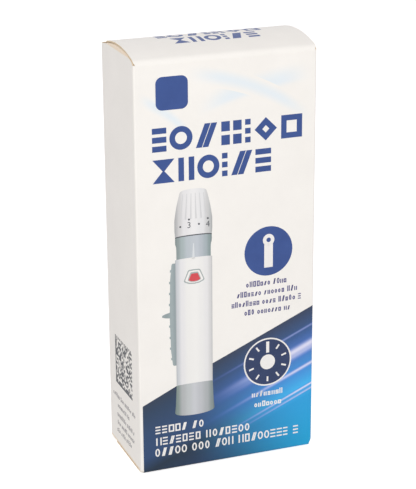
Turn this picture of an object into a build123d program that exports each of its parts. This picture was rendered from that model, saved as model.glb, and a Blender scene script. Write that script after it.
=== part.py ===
from build123d import *
from math import cos, degrees, radians, sin, sqrt
import os

# Folding carton for a lancing device, closed, with what its print says it holds.
# It is one die-cut sheet of coated board: four panels round a glued seam, two dust flaps at each
# end, and at each end a lid with a tuck flap, both hinged on the front panel (straight tuck).
# Inside stand the lancing device and its folded instruction leaflet.
# Millimetres. X is across the front panel, the front faces -Y, +Z is up, and the origin is the
# centre of the footprint on the table.

# Carton: driving sizes
carton_width = 62.4
carton_depth = 32.5
carton_height = 142.0           # table to the fold of the top dust flaps
board = 0.45                    # thickness of the coated board
crease_radius = 0.7             # outer radius of the four upright creases
top_fold_radius = 1.6           # outer radius of a top dust flap's soft fold
bottom_fold_radius = 0.65       # and of a lower one's, pressed flat by the weight
foot = 0.5                      # table to the lower dust flaps, which lie on the bottom lid
glue_flap_width = 11.0
glue_flap_setback = 1.6         # glue flap's ends stop short of the folds
glue_flap_taper = 5.0           # further cut-back at its free edge
seam_setback = 0.5              # raw edge of the right panel, short of the back face
seam_crease_turn = 60.0         # degrees of its crease that run the full height

# Dust flaps
dust_flap_length = 25.0
dust_flap_taper = 3.5           # each side edge slants in by this much
dust_flap_corner = 4.0
flap_lid_gap = 0.1              # the top folds start where the bowed lid has risen this clear
bottom_root_setback = 2.0       # the lower folds start this far behind the front bend
top_shoulder_length = 5.5       # side panel's top edge behind the dust flap's fold
top_shoulder_drop = 1.3         # and how much lower it is cut
bottom_shoulder_length = 4.0
bottom_shoulder_rise = 0.4

# Lids
lid_side_setback = 0.2          # lid's edge short of the side panel's outer face
lid_panel_gap = 0.1             # side panel's cut edge below the lid's inner face
hinge_gap = 0.1                 # slit at the hinge line, measured on the outside
tuck_gap = 0.25                 # tuck flap's fold to the back panel
top_bend_drop = 2.56            # the front panel starts to bend this far below the fold height
top_bend_radius = 2.24
lid_rise = 17.0                 # slope of the bowed lid behind the front bend, degrees
lid_fall = 18.0                 # slope at its rear fold, degrees
bottom_bend_radius = 1.0
tuck_bend_radius = 0.7
bottom_tuck_turn = 104.0        # the lower tuck flap leans in from the back panel, degrees
tuck_length = 13.5
tuck_corner = 7.0
rear_relief = 1.3               # a lid narrows by this much at its rear fold
rear_relief_length = 5.0
rear_relief_corner = 2.0

# Instruction leaflet: one sheet in a zigzag of upright plies
leaflet_sheet = 0.12
leaflet_ply_pitch = 0.32
leaflet_plies = 8
leaflet_side_gap = 3.75         # to each side panel
leaflet_height = 98.0
leaflet_rear_gap = 0.7          # to the rear edge of the lower flaps, which it stands on

# Lancing device: a pen with its cap upwards
pen_gap = 0.3                   # to the leaflet behind it
pen_radius = 8.4
pen_wall = 1.5
pen_foot_radius = 9.25
pen_foot_edge = 1.2
pen_taper_share = 1 / 3         # of a flare's or taper's step, reached at the middle of its length
end_cap_height = 14.8
barrel_length = 58.0
collar_length = 9.8
collar_waist = 0.55
cap_length = 21.2
cap_straight = 8.0
cap_tip_radius = 6.1
cap_tip_edge = 1.6
cap_wall = 1.3
cap_aperture = 1.7
spigot_length = 5.0
nose_length = 8.0
spigot_gap = 0.05               # pressed and glued joints
running_gap = 0.08              # the cap turns on the collar's nose

# Cocking slider on the pen's left side
slider_length = 47.0
slider_above_cap = 9.7          # slider's lower end above the end cap
slider_width = 7.0
slider_stand = 2.9
slider_end_stand = 1.3
slider_ramp = 5.9
slider_travel = 8.0
slider_neck_width = 3.0
slider_neck_length = 18.0
slider_foot_width = 5.6
slider_foot_thickness = 1.2
slider_gap = 0.15
rib_count = 9
rib_height = 0.45
rib_width = 0.9
thumb_nub_stand = 2.7
thumb_nub_width = 2.2
thumb_nub_edge = 0.7

# Release button in its bezel, on the pen's front
button_height_above_cap = 49.5
button_width = 5.0
button_height = 3.6
button_corner = 0.65
button_travel = 1.0
button_pressed_stand = 0.3      # above the barrel, pressed in
button_gap = 0.15
button_flange = 0.8             # the collar inside that keeps it in
bezel_top_width = 6.6
bezel_foot_width = 9.4
bezel_height = 6.8
bezel_stand = 0.7
bezel_corner = 1.3

# Plunger that carries the lancet
plunger_tail = 11.5             # its lower end above the pen's foot
stem_radius = 2.2
stem_gap = 0.15
guide_wall = 1.3
end_cap_floor = 2.0
guide_top = 19.0
spring_seat_z = 50.0
spring_seat_radius = 4.8
spring_seat_thickness = 1.6
holder_z = 78.0
holder_radius = 3.5
holder_length = 14.0
lancet_bore_radius = 2.7
lancet_bore_depth = 10.0
web_thickness = 1.5
finger_thickness = 1.6          # on the slider's foot, over the spring seat
finger_reach = 4.15
finger_gap = 0.1

# Springs: the drive spring under the spring seat, and the return spring over it
drive_spring_radius = 4.3       # to the middle of the wire
drive_spring_wire = 0.6
drive_spring_pitch = 5.3
return_spring_radius = 2.85
return_spring_wire = 0.45
return_spring_pitch = 3.1
spring_wire_sides = 8           # flats round the wire
spring_end_gap = 0.02

# Derived places
front_y = -carton_depth / 2
half_width = carton_width / 2
centre_line = board / 2
lid_half_width = half_width - lid_side_setback
lid_trim = board + lid_panel_gap
lid_reach = carton_depth - board - tuck_gap
top_bend_z = carton_height - top_bend_drop
top_bend_turn = 90 - lid_rise
gap_turn_top = degrees(hinge_gap / top_bend_radius)
gap_turn_bottom = degrees(hinge_gap / bottom_bend_radius)
rise_sin = sin(radians(lid_rise))
rise_cos = cos(radians(lid_rise))
fall_sin = sin(radians(lid_fall))
arch_span = lid_reach - top_bend_radius * (1 - rise_sin) - tuck_bend_radius * (1 - fall_sin)
arch_radius = arch_span / (rise_sin + fall_sin)
arch_centre_s = top_bend_radius * (1 - rise_sin) + arch_radius * rise_sin
arch_centre_z = top_bend_z + (top_bend_radius - arch_radius) * rise_cos
flap_clear_z = carton_height + flap_lid_gap - arch_centre_z
top_root = (arch_centre_s - sqrt((arch_radius - board) ** 2 - flap_clear_z ** 2),
            carton_depth - top_shoulder_length)
bottom_root = (bottom_bend_radius + bottom_root_setback, carton_depth - bottom_shoulder_length)
flap_floor = foot + board
leaflet_thickness = leaflet_sheet + (leaflet_plies - 1) * leaflet_ply_pitch
leaflet_width = carton_width - 2 * (board + leaflet_side_gap)
leaflet_rear_y = front_y + bottom_root[1] - leaflet_rear_gap
pen_y = leaflet_rear_y - leaflet_thickness - pen_gap - pen_foot_radius
barrel_top = end_cap_height + barrel_length
cap_bottom = barrel_top + collar_length + running_gap
barrel_bore = pen_radius - pen_wall
spigot_radius = barrel_bore - spigot_gap
slider_low = end_cap_height + slider_above_cap
neck_low = slider_low + (slider_length - slider_neck_length) / 2
button_z = end_cap_height + button_height_above_cap
button_stand = button_pressed_stand + button_travel

# Sections through the carton: behind the front face against height, and across it
depth_plane = Plane(origin=(0, front_y, 0), x_dir=(0, 1, 0), z_dir=(1, 0, 0))
width_plane = Plane.XZ


def board_strip(edges, width, plane):
    """A bent strip of board: its centre line in a plane, thickened and widened evenly."""
    return extrude(plane * trace(edges, board), amount=width / 2, both=True)


def block(x, y, z):
    """A box given by its three spans."""
    size = (x[1] - x[0], y[1] - y[0], z[1] - z[0])
    centre = ((x[0] + x[1]) / 2, (y[0] + y[1]) / 2, (z[0] + z[1]) / 2)
    return Pos(*centre) * Box(*size)


def across(depth, z):
    """A block through the whole width, between two depths behind the front face."""
    return block((-carton_width, carton_width), (front_y + depth[0], front_y + depth[1]), z)


def turned(*outline):
    """A solid of revolution from its outline, given as (radius, height) points and edges."""
    return revolve(Plane.XZ * make_face(outline), Axis.Z)


def tube(outer, inner, z):
    """A tube about the pen's axis between two heights."""
    ring = Circle(outer) - Circle(inner)
    return extrude(Plane.XY.offset(z[0]) * ring, amount=z[1] - z[0])


def hinge_point(centre, radius, turn, up):
    """The hinge axis, just outside the board on a front bend: (y, z)."""
    reach = radius + hinge_gap / 2
    return (front_y + centre[0] - reach * cos(radians(turn)),
            centre[1] + up * reach * sin(radians(turn)))


def top_front_bend():
    """Centre lines of the top front bend: the front panel's share, then the lid's share."""
    radius = top_bend_radius - centre_line
    half_turn = (top_bend_turn - gap_turn_top) / 2
    fixed = JernArc((centre_line, top_bend_z), (0, 1), radius, -half_turn)
    gap = JernArc(fixed @ 1, fixed % 1, radius, -gap_turn_top)
    moving = JernArc(gap @ 1, gap % 1, radius, -half_turn)
    return fixed, moving


def bottom_front_bend():
    """Centre lines of the bottom front bend, in the same order."""
    radius = bottom_bend_radius - centre_line
    half_turn = (90 - gap_turn_bottom) / 2
    fixed = JernArc((centre_line, bottom_bend_radius), (0, -1), radius, half_turn)
    gap = JernArc(fixed @ 1, fixed % 1, radius, gap_turn_bottom)
    moving = JernArc(gap @ 1, gap % 1, radius, half_turn)
    return fixed, moving


def seam_crease():
    """Centre lines of the seam flap's crease: the full-height share, then the flap's own."""
    bend = crease_radius - centre_line
    start = (half_width - centre_line - board - bend, -front_y - centre_line)
    full = JernArc(start, (1, 0), bend, -seam_crease_turn)
    return full, JernArc(full @ 1, full % 1, bend, seam_crease_turn - 90)


def panels():
    """The four panels, as a path round the carton that ends in the seam flap's crease."""
    right = half_width - centre_line
    rear = -front_y - centre_line
    path = FilletPolyline(
        (right, -front_y - seam_setback), (right, -rear), (-right, -rear), (-right, rear),
        (0, rear), radius=crease_radius - centre_line)
    strip = trace([path, Line((0, rear), seam_crease()[0] @ 0), seam_crease()[0]], board)
    return extrude(Plane.XY.offset(foot) * strip, amount=carton_height - foot)


def glue_flap():
    """The seam flap, bonded to the inside of the right panel, with tapered ends."""
    rear = -front_y - crease_radius
    front = -front_y - glue_flap_width
    low = foot + glue_flap_setback
    high = carton_height - glue_flap_setback
    crease = Plane.XY.offset(low) * trace(seam_crease()[1], board)
    outline = make_face(Polyline(
        (rear, low), (rear, high), (front, high - glue_flap_taper), (front, low + glue_flap_taper),
        close=True))
    flap = extrude(Plane.YZ.offset(half_width - 2 * board) * outline, amount=board)
    return flap + extrude(crease, amount=high - low)


def above_top_lid():
    """All that lies over the bowed lid's inner face near the front, to trim the side panels."""
    bend = JernArc((lid_trim, top_bend_z), (0, 1), top_bend_radius - lid_trim, -top_bend_turn)
    arch = JernArc(bend @ 1, bend % 1, arch_radius - lid_trim, -lid_rise)
    roof = carton_height + top_bend_drop
    end = arch @ 1
    rest = Polyline(end, (end.X, roof), (-board, roof), (-board, top_bend_z), bend @ 0)
    return extrude(depth_plane * make_face([bend, arch, rest]), amount=carton_width, both=True)


def below_bottom_bend():
    """All that lies outside the bottom front bend's inner face, to trim the side panels."""
    corner = Rectangle(2 * bottom_bend_radius, 2 * bottom_bend_radius)
    inside = Pos(bottom_bend_radius, bottom_bend_radius) * Circle(bottom_bend_radius - lid_trim)
    return extrude(depth_plane * (corner - inside), amount=carton_width, both=True)


def dust_flap(root, fold_radius):
    """A right-hand dust flap with its fold, its outer face at z = 0, pointing up."""
    front, rear = front_y + root[0], front_y + root[1]
    fold_start = half_width - fold_radius
    tip = half_width - dust_flap_length
    fold = JernArc((half_width - centre_line, -fold_radius), (0, 1),
                   fold_radius - centre_line, 90)
    strip = board_strip([fold, Line(fold @ 1, (tip, -centre_line))], 2 * carton_depth, width_plane)
    outline = make_face(Polyline(
        (half_width, front), (fold_start, front), (tip, front + dust_flap_taper),
        (tip, rear - dust_flap_taper), (fold_start, rear), (half_width, rear), close=True))
    outline = fillet(outline.vertices().sort_by(Axis.X)[:2], dust_flap_corner)
    return strip & (Pos(0, 0, -fold_radius) * extrude(outline, amount=fold_radius))


def carton_body():
    """Panels, seam, the fixed share of both front bends and the four dust flaps: one sheet."""
    body = panels() + glue_flap() - above_top_lid() - below_bottom_bend()
    top = (carton_height - top_fold_radius, carton_height + board)
    bottom = (foot - board, foot + bottom_fold_radius)
    body -= across((top_root[1], 2 * carton_depth), (carton_height - top_shoulder_drop, top[1]))
    body -= across((bottom_root[1], 2 * carton_depth), (bottom[0], foot + bottom_shoulder_rise))
    body -= across(top_root, top)
    body -= across(bottom_root, bottom)
    for bend in (top_front_bend()[0], bottom_front_bend()[0]):
        body += board_strip([bend], 2 * lid_half_width, depth_plane)
    upper_flap = dust_flap(top_root, top_fold_radius)
    lower_flap = mirror(dust_flap(bottom_root, bottom_fold_radius), about=Plane.XY)
    for flap in (Pos(0, 0, carton_height) * upper_flap, Pos(0, 0, foot) * lower_flap):
        body += flap
        body += mirror(flap, about=Plane.YZ)
    return body


def lid_plan():
    """A lid seen from above, relieved at the rear so that it goes in between the side panels."""
    start = front_y + lid_reach - rear_relief_length
    end = front_y + lid_reach - tuck_bend_radius
    narrow = lid_half_width - rear_relief
    right = [(lid_half_width, 2 * front_y), (lid_half_width, start), (narrow, end),
             (narrow, carton_depth)]
    left = [(-x, y) for x, y in reversed(right)]
    plan = make_face(Polyline(*right, *left, close=True))
    bends = [v for v in plan.vertices() if start - board < v.Y < end + board]
    plan = fillet(bends, rear_relief_corner)
    return extrude(plan, amount=2 * carton_height, both=True)


def tuck_outline(tip_z, way):
    """A tuck flap's outline seen from the front, rounded at its tip; way is +1 or -1."""
    shape = RectangleRounded(
        2 * (lid_half_width - rear_relief), 2 * carton_height, tuck_corner)
    return extrude(width_plane * (Pos(0, tip_z + way * carton_height) * shape),
                   amount=carton_depth, both=True)


def lid(panel, fold, way):
    """A lid panel and its tuck flap, which goes on along the fold's end."""
    tuck = Line(fold @ 1, (fold @ 1) + (fold % 1) * tuck_length)
    tip = (tuck @ 1).Y
    return ((board_strip(panel + [fold], 2 * lid_half_width, depth_plane) & lid_plan())
            + (board_strip([tuck], carton_width, depth_plane) & tuck_outline(tip, way)))


def top_lid():
    """The bowed top lid; its tuck flap is folded square to the lid's rear slope."""
    bend = top_front_bend()[1]
    arch = JernArc(bend @ 1, bend % 1, arch_radius - centre_line, -(lid_rise + lid_fall))
    fold = JernArc(arch @ 1, arch % 1, tuck_bend_radius - centre_line, -90)
    return lid([bend, arch], fold, 1)


def bottom_lid():
    """The flat bottom lid; its tuck flap stands inside the back panel and leans in."""
    bend = bottom_front_bend()[1]
    flat = Line(bend @ 1, (lid_reach - tuck_bend_radius, centre_line))
    fold = JernArc(flat @ 1, flat % 1, tuck_bend_radius - centre_line, bottom_tuck_turn)
    return lid([bend, flat], fold, -1)


def instruction_leaflet():
    """The leaflet: one sheet folded to and fro, standing on the lower dust flaps."""
    turn = leaflet_ply_pitch / 2
    reach = leaflet_width / 2 - turn - leaflet_sheet / 2
    y = leaflet_rear_y - leaflet_sheet / 2
    side = 1
    path = []
    for ply in range(leaflet_plies):
        path.append(Line((-side * reach, y), (side * reach, y)))
        if ply < leaflet_plies - 1:
            path.append(JernArc((side * reach, y), (side, 0), turn, -180 * side))
        y -= leaflet_ply_pitch
        side = -side
    return extrude(Plane.XY.offset(flap_floor) * trace(path, leaflet_sheet), amount=leaflet_height)


def pen_end_cap():
    """The flared foot of the pen, a cup with the plunger's guide, plugged into the barrel."""
    inner = spigot_radius - guide_wall
    flare = ThreePointArc(
        (pen_foot_radius, pen_foot_edge),
        (pen_radius + (pen_foot_radius - pen_radius) * pen_taper_share, end_cap_height / 2),
        (pen_radius, end_cap_height))
    edge = RadiusArc((pen_foot_radius - pen_foot_edge, 0), flare @ 0, -pen_foot_edge)
    bottom = Line((0, 0), edge @ 0)
    rest = Polyline(
        flare @ 1, (spigot_radius, end_cap_height),
        (spigot_radius, end_cap_height + spigot_length), (inner, end_cap_height + spigot_length),
        (inner, end_cap_floor), (0, end_cap_floor), (0, 0))
    guide_bore = stem_radius + stem_gap
    cup = turned(bottom, edge, flare, rest)
    return cup + tube(guide_bore + guide_wall, guide_bore, (end_cap_floor, guide_top))


def barrel_openings():
    """The slider's slot and the release button's hole, cut through the barrel's wall."""
    half = slider_neck_width / 2 + slider_gap
    slot = block((-2 * pen_radius, 0), (-half, half),
                 (neck_low - slider_travel - slider_gap, neck_low + slider_neck_length + slider_gap))
    hole = RectangleRounded(button_width + 2 * button_gap, button_height + 2 * button_gap,
                            button_corner)
    return slot + extrude(width_plane * (Pos(0, button_z) * hole), amount=2 * pen_radius)


def pen_shell(side):
    """Half of the barrel, split along the pen: the front half is on the -Y side."""
    wall = tube(pen_radius, barrel_bore, (end_cap_height, barrel_top)) - barrel_openings()
    half = (0, 2 * pen_radius) if side > 0 else (-2 * pen_radius, 0)
    return wall & block((-2 * pen_radius, 2 * pen_radius), half, (0, 2 * barrel_top))


def pen_grip_collar():
    """The waisted grip ring, with a spigot in the barrel and a nose on which the cap turns."""
    low, high = barrel_top, barrel_top + collar_length
    nose = pen_radius - cap_wall - running_gap
    bore = nose - cap_wall
    waist = ThreePointArc((pen_radius, low), (pen_radius - collar_waist, (low + high) / 2),
                          (pen_radius, high))
    web = low - spigot_length + web_thickness
    hole = stem_radius + stem_gap
    rest = Polyline(
        waist @ 1, (nose, high), (nose, high + nose_length), (bore, high + nose_length),
        (bore, web), (hole, web), (hole, low - spigot_length), (spigot_radius, low - spigot_length),
        (spigot_radius, low), waist @ 0)
    return turned(waist, rest)


def pen_depth_cap():
    """The tapered cap that is turned to set the depth, with the lancet's hole in its tip."""
    low, top = cap_bottom, cap_bottom + cap_length
    bore = pen_radius - cap_wall
    tip = ThreePointArc(
        (pen_radius, low + cap_straight),
        (pen_radius - (pen_radius - cap_tip_radius) * pen_taper_share,
         low + (cap_straight + cap_length) / 2),
        (cap_tip_radius, top - cap_tip_edge))
    edge = RadiusArc(tip @ 1, (cap_tip_radius - cap_tip_edge, top), -cap_tip_edge)
    rest = Polyline(
        edge @ 1, (cap_aperture, top), (cap_aperture, top - cap_wall),
        (cap_tip_radius - cap_wall, top - cap_wall - cap_tip_edge),
        (bore, low + cap_straight + cap_wall), (bore, low), (pen_radius, low), tip @ 0)
    return turned(tip, edge, rest)


def slider_pad():
    """The slider's outer pad in side view: ramped ends, ribs and a nub for the thumb."""
    surface = -pen_radius
    high = slider_low + slider_length
    profile = make_face(Polyline(
        (0, slider_low), (surface - slider_end_stand, slider_low),
        (surface - slider_stand, slider_low + slider_ramp), (surface - slider_stand, high - slider_ramp),
        (surface - slider_end_stand, high), (0, high), close=True))
    pitch = (slider_length - 2 * slider_ramp) / (rib_count - 1)
    for i in range(rib_count):
        z = slider_low + slider_ramp + i * pitch
        profile += Pos(surface - slider_stand, z) * RectangleRounded(
            2 * rib_height, rib_width, rib_height / 2)
    middle = slider_low + slider_length / 2
    profile += Pos(surface - slider_stand, middle) * RectangleRounded(
        2 * thumb_nub_stand, thumb_nub_width, thumb_nub_edge)
    return extrude(width_plane * profile, amount=slider_width / 2, both=True)


def pen_slider():
    """The cocking slider: ribbed pad, neck through the slot, and a foot with a finger inside."""
    keep_out = Cylinder(pen_radius + slider_gap, 4 * barrel_top)
    pad = slider_pad() - keep_out
    foot_outer = barrel_bore - slider_gap
    foot_inner = foot_outer - slider_foot_thickness
    neck_z = (neck_low, neck_low + slider_neck_length)
    half_neck, half_foot = slider_neck_width / 2, slider_foot_width / 2
    neck = block((-pen_radius - slider_stand / 2, 0), (-half_neck, half_neck), neck_z)
    neck -= Cylinder(foot_outer - slider_foot_thickness / 2, 4 * barrel_top)
    inner_foot = tube(foot_outer, foot_inner, neck_z)
    inner_foot &= block((-pen_radius, 0), (-half_foot, half_foot), neck_z)
    finger_low = spring_seat_z + spring_seat_thickness + finger_gap
    finger = tube(foot_outer - slider_foot_thickness / 2, finger_reach,
                  (finger_low, finger_low + finger_thickness))
    finger &= block((-pen_radius, 0), (-half_neck, half_neck), (0, 2 * barrel_top))
    return pad + neck + inner_foot + finger


def pen_button_bezel():
    """The raised frame round the release button, seated on the barrel."""
    low, high = button_z - bezel_height / 2, button_z + bezel_height / 2
    frame = make_face(Polyline(
        (-bezel_foot_width / 2, low), (bezel_foot_width / 2, low), (bezel_top_width / 2, high),
        (-bezel_top_width / 2, high), close=True))
    frame = fillet(frame.vertices(), bezel_corner)
    frame = extrude(width_plane * frame, amount=2 * pen_radius)
    return (frame & tube(pen_radius + bezel_stand, pen_radius, (low, high))) - barrel_openings()


def pen_release_button():
    """The release button: a curved pad in the hole, with a flange behind the wall."""
    middle = Pos(0, button_z)
    pad = extrude(width_plane * (middle * RectangleRounded(
        button_width, button_height, button_corner)), amount=2 * pen_radius)
    flange = extrude(width_plane * (middle * Rectangle(
        button_width + 2 * button_flange, button_height + 2 * button_flange)), amount=2 * pen_radius)
    inner = barrel_bore - button_gap
    zone = (button_z - button_width, button_z + button_width)
    return ((pad & tube(pen_radius + button_stand, inner - button_flange / 2, zone))
            + (flange & tube(inner, inner - button_flange, zone)))


def pen_plunger():
    """The plunger: guided stem, spring seat, and the socket that a lancet is pressed into."""
    seat_top = spring_seat_z + spring_seat_thickness
    top = holder_z + holder_length
    outline = Polyline(
        (0, plunger_tail), (stem_radius, plunger_tail), (stem_radius, spring_seat_z),
        (spring_seat_radius, spring_seat_z), (spring_seat_radius, seat_top),
        (stem_radius, seat_top), (stem_radius, holder_z), (holder_radius, holder_z),
        (holder_radius, top), (lancet_bore_radius, top),
        (lancet_bore_radius, top - lancet_bore_depth), (0, top - lancet_bore_depth),
        (0, plunger_tail))
    return turned(outline)


def coil_spring(radius, wire, pitch, z):
    """A coil spring about the pen's axis whose wire fills the height between two seats."""
    inset = wire / 2 + spring_end_gap
    coil = Helix(pitch, z[1] - z[0] - 2 * inset, radius)
    section = Plane(origin=coil @ 0, z_dir=coil % 0) * RegularPolygon(wire / 2, spring_wire_sides)
    return Pos(0, 0, z[0] + inset) * sweep(section, path=coil)


def save(name, shape):
    """Write one node, and say how many solids it holds."""
    solids = shape.solids()
    print(f"{name}: {len(solids)} solids, {sum(s.volume for s in solids):.1f} mm3")
    export_step(shape, f"parts/{name}.step")


os.makedirs("parts", exist_ok=True)
save("carton", carton_body())
save("top_lid", top_lid())
save("bottom_lid", bottom_lid())
save("instruction_leaflet", instruction_leaflet())

pen_place = Pos(0, pen_y, flap_floor)
save("pen_end_cap", pen_place * pen_end_cap())
save("pen_front_shell", pen_place * pen_shell(-1))
save("pen_rear_shell", pen_place * pen_shell(1))
save("pen_grip_collar", pen_place * pen_grip_collar())
save("pen_depth_cap", pen_place * pen_depth_cap())
save("pen_slider", pen_place * pen_slider())
save("pen_button_bezel", pen_place * pen_button_bezel())
save("pen_release_button", pen_place * pen_release_button())
save("pen_plunger", pen_place * pen_plunger())
save("pen_drive_spring", pen_place * coil_spring(
    drive_spring_radius, drive_spring_wire, drive_spring_pitch, (end_cap_floor, spring_seat_z)))
save("pen_return_spring", pen_place * coil_spring(
    return_spring_radius, return_spring_wire, return_spring_pitch,
    (spring_seat_z + spring_seat_thickness, barrel_top - spigot_length)))

top_hinge = hinge_point((top_bend_radius, top_bend_z), top_bend_radius, top_bend_turn / 2, 1)
bottom_hinge = hinge_point((bottom_bend_radius, bottom_bend_radius), bottom_bend_radius, 45, -1)
print("top hinge y, z:", top_hinge)
print("bottom hinge y, z:", bottom_hinge)
print("pen axis y:", pen_y, "foot z:", flap_floor)
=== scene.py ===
import bmesh
import bpy
import numpy as np
from mathutils import Matrix


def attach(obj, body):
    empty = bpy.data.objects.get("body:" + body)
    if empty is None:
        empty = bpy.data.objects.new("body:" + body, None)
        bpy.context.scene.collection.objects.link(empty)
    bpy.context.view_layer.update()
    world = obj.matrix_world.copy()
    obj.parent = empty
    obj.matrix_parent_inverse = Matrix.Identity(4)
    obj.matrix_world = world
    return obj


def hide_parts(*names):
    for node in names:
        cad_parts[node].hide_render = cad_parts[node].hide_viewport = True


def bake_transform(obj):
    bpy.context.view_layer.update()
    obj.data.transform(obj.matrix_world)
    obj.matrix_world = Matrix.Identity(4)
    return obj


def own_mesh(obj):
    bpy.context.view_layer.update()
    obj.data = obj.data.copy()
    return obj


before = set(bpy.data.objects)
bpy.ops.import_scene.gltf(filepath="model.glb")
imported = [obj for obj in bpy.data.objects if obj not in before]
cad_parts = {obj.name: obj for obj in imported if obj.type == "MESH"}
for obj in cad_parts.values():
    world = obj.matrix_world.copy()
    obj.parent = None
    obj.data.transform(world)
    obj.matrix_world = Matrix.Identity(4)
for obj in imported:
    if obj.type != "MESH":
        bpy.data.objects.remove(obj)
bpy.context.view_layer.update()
MM = 0.001

# Camera: it looks down at the carton from its left front corner, from about 0.6 m away.
# Its angles and place are fitted to the carton's upright and level edges, and its lens is for a sensor
# 36 mm along the frame's longer side.
azimuth, elevation, roll = np.radians([-20.782, 19.177, -0.348])
camera_place = np.array([-196.31, -515.81, 264.30]) * MM


def stood(right, up, back, place):
    """Where a camera or a lamp stands, as a matrix: its right, up and backward directions and its place."""
    return Matrix(np.vstack([np.column_stack([right, up, back, place]), [0, 0, 0, 1]]).tolist())


back = np.array([np.sin(azimuth) * np.cos(elevation), -np.cos(azimuth) * np.cos(elevation),
                 np.sin(elevation)])
level_right = np.array([np.cos(azimuth), np.sin(azimuth), 0])
level_up = np.cross(back, level_right)
right = np.cos(roll) * level_right + np.sin(roll) * level_up
up = np.cos(roll) * level_up - np.sin(roll) * level_right
camera_data = bpy.data.cameras.new("camera")
camera_data.lens = 127.97
camera_data.sensor_width = 36
camera_data.clip_end = 20
camera = bpy.data.objects.new("camera", camera_data)
camera.matrix_world = stood(right, up, back, camera_place)
bpy.context.scene.collection.objects.link(camera)
bpy.context.scene.camera = camera
bpy.context.scene.view_settings.view_transform = "Standard"


# Studio: a white sweep lit by the white room and one large softbox.
# The softbox hangs before the carton, above it and to its left, so the front is the brightest face.
def linear(colour):
    """An sRGB hex colour as linear red, green, blue and alpha, by the sRGB curve."""
    c = np.array([int(colour[i:i + 2], 16) for i in (0, 2, 4)]) / 255
    return (*np.where(c <= 0.04045, c / 12.92, ((c + 0.055) / 1.055) ** 2.4), 1.0)


def add(tree, kind, inputs=None, stops=(), **settings):
    """Adds a node: its settings by name, each input as a value or as the output linked to it, and a ramp's
    stops as pairs of a place and a colour."""
    made = tree.nodes.new(kind)
    for name, value in settings.items():
        setattr(made, name, value)
    for socket, value in (inputs or {}).items():
        if isinstance(value, bpy.types.NodeSocket):
            tree.links.new(value, made.inputs[socket])
        else:
            made.inputs[socket].default_value = value
    if stops:
        ends = made.color_ramp.elements
        (ends[0].position, ends[0].color), (ends[1].position, ends[1].color) = stops[0], stops[-1]
        for position, colour in stops[1:-1]:
            ends.new(position).color = colour
    return made


def empty_material(name):
    """A material with nothing in its node tree."""
    made = bpy.data.materials.new(name)
    made.use_nodes = True
    made.node_tree.nodes.clear()
    return made, made.node_tree


world = bpy.data.worlds.new("white_room")
bpy.context.scene.world = world
world.use_nodes = True
tree = world.node_tree
tree.nodes.clear()
path = add(tree, "ShaderNodeLightPath")
seen = path.outputs["Is Camera Ray"]
for ray in ("Is Glossy Ray", "Is Transmission Ray"):
    seen = add(tree, "ShaderNodeMath", {0: seen, 1: path.outputs[ray]}, operation="MAXIMUM").outputs[0]
room = add(tree, "ShaderNodeBackground", {"Color": linear("FFFBFB"), "Strength": 0.64})
white = add(tree, "ShaderNodeBackground", {"Color": linear("FFFFFF"), "Strength": 1.0})
mixed = add(tree, "ShaderNodeMixShader", {0: seen, 1: room.outputs[0], 2: white.outputs[0]})
add(tree, "ShaderNodeOutputWorld", {"Surface": mixed.outputs[0]})

softbox_way = np.array([-0.36, -0.76, 0.54])
softbox_distance, carton_middle = 1.2, np.array([0, 0, 0.07])
softbox_back = softbox_way / np.linalg.norm(softbox_way)
softbox_right = np.cross([0, 0, 1], softbox_back)
softbox_right /= np.linalg.norm(softbox_right)
softbox_data = bpy.data.lights.new("softbox", "AREA")
softbox_data.shape = "RECTANGLE"
softbox_data.size = 0.7
softbox_data.size_y = 0.9
softbox_data.energy = 6.0
softbox_data.color = (1.0, 1.0, 0.97)
softbox = bpy.data.objects.new("softbox", softbox_data)
softbox.matrix_world = stood(softbox_right, np.cross(softbox_back, softbox_right), softbox_back,
                             softbox_back * softbox_distance + carton_middle)
bpy.context.scene.collection.objects.link(softbox)

# Sweep paper: matt white with a fine grain, 0.9 grains to the millimetre, and white to the camera alone.
sweep_paper, tree = empty_material("sweep_paper_matt")
path = add(tree, "ShaderNodeLightPath")
grain = add(tree, "ShaderNodeTexNoise", {"Scale": 0.9 / MM, "Detail": 3})
lift = add(tree, "ShaderNodeBump", {"Height": grain.outputs["Fac"], "Strength": 0.05, "Distance": 0.2 * MM})
paper = add(tree, "ShaderNodeBsdfPrincipled", {
    "Base Color": linear("F2F2F2"), "Roughness": 0.9, "Normal": lift.outputs[0]})
glow = add(tree, "ShaderNodeEmission", {"Color": linear("FFFFFF"), "Strength": 0.55})
nothing = add(tree, "ShaderNodeEmission", {"Color": linear("000000"), "Strength": 0.0})
shown = add(tree, "ShaderNodeMixShader", {
    0: path.outputs["Is Camera Ray"], 1: nothing.outputs[0], 2: glow.outputs[0]})
both = add(tree, "ShaderNodeAddShader", {0: paper.outputs[0], 1: shown.outputs[0]})
add(tree, "ShaderNodeOutputMaterial", {"Surface": both.outputs[0]})
floor_half = 3.0
floor_mesh = bpy.data.meshes.new("sweep")
floor_mesh.from_pydata([(-floor_half, -floor_half, 0), (floor_half, -floor_half, 0),
                        (floor_half, floor_half, 0), (-floor_half, floor_half, 0)], [], [(0, 1, 2, 3)])
floor_mesh.materials.append(sweep_paper)
sweep = bpy.data.objects.new("sweep", floor_mesh)
bpy.context.scene.collection.objects.link(sweep)


# Carton body: four panels, the glued seam flap and four dust flaps of one die-cut sheet.
# 0.45 mm folding boxboard, clay-coated and varnished outside, uncoated fibre inside, with raw cut edges.
# The panels are a profile carried up the carton; a dust flap is a profile carried from front to rear.
board = 0.45
width, depth, height = 62.4, 32.5, 142.0
half_width, half_depth = width / 2, depth / 2
crease = 0.7
flat_half, flat_depth = half_width - crease, half_depth - crease
front_crown, side_crown = 0.2, 0.1
foot = 0.5
front_drop = 2.56
front_bend, bottom_bend = 2.24, 1.0
front_top, front_low = height - front_drop, bottom_bend
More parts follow.
